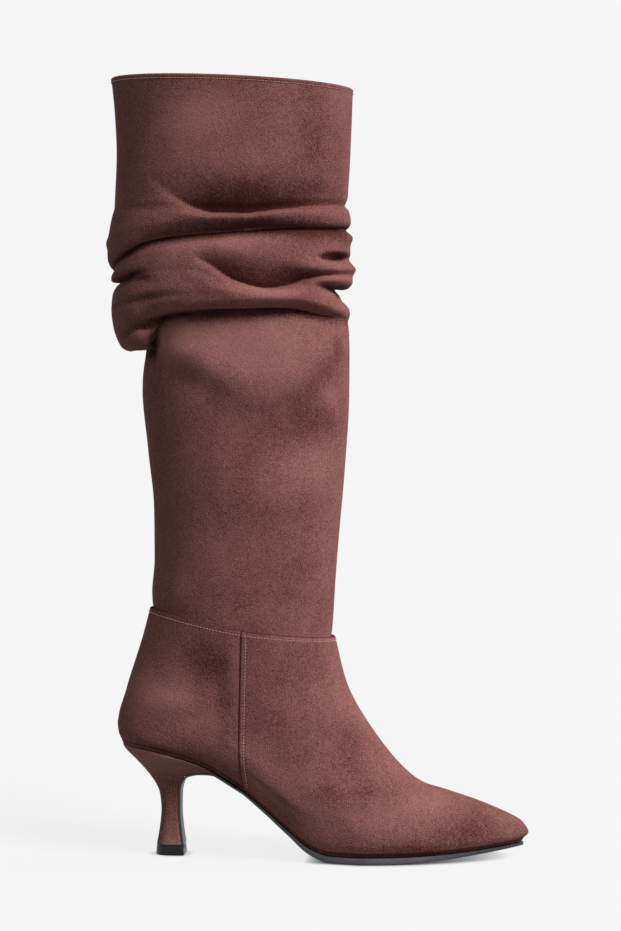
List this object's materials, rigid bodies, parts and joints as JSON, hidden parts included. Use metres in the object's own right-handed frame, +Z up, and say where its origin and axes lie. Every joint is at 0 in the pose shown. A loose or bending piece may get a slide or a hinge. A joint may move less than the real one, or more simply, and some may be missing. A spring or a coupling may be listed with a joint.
{
  "type": "heeled knee-high slouch boot",
  "caption": "Pull-on suede boot for the right foot: knee-high slouched leg, pointed toe, side-seamed foot part and a flared covered heel.",
  "frame": {"origin": "centre of the heel's flat end on the floor", "axes": "+X to the toe, +Y to the wearer's left (the boot's inner side), +Z up the leg"},
  "size_m": [0.257, 0.0953, 0.4724],
  "materials": {
    "suede": "brown suede with a short matte nap",
    "sock": "smooth matte lining leather",
    "sole": "black, semi-matte",
    "top_piece": "black, glossy"
  },
  "bodies": {
    "root": {"upper": "suede", "shaft": "suede", "insole": "sock", "outsole": "sole", "heel": "suede", "top_piece": "top_piece"}
  },
  "joints": []
}
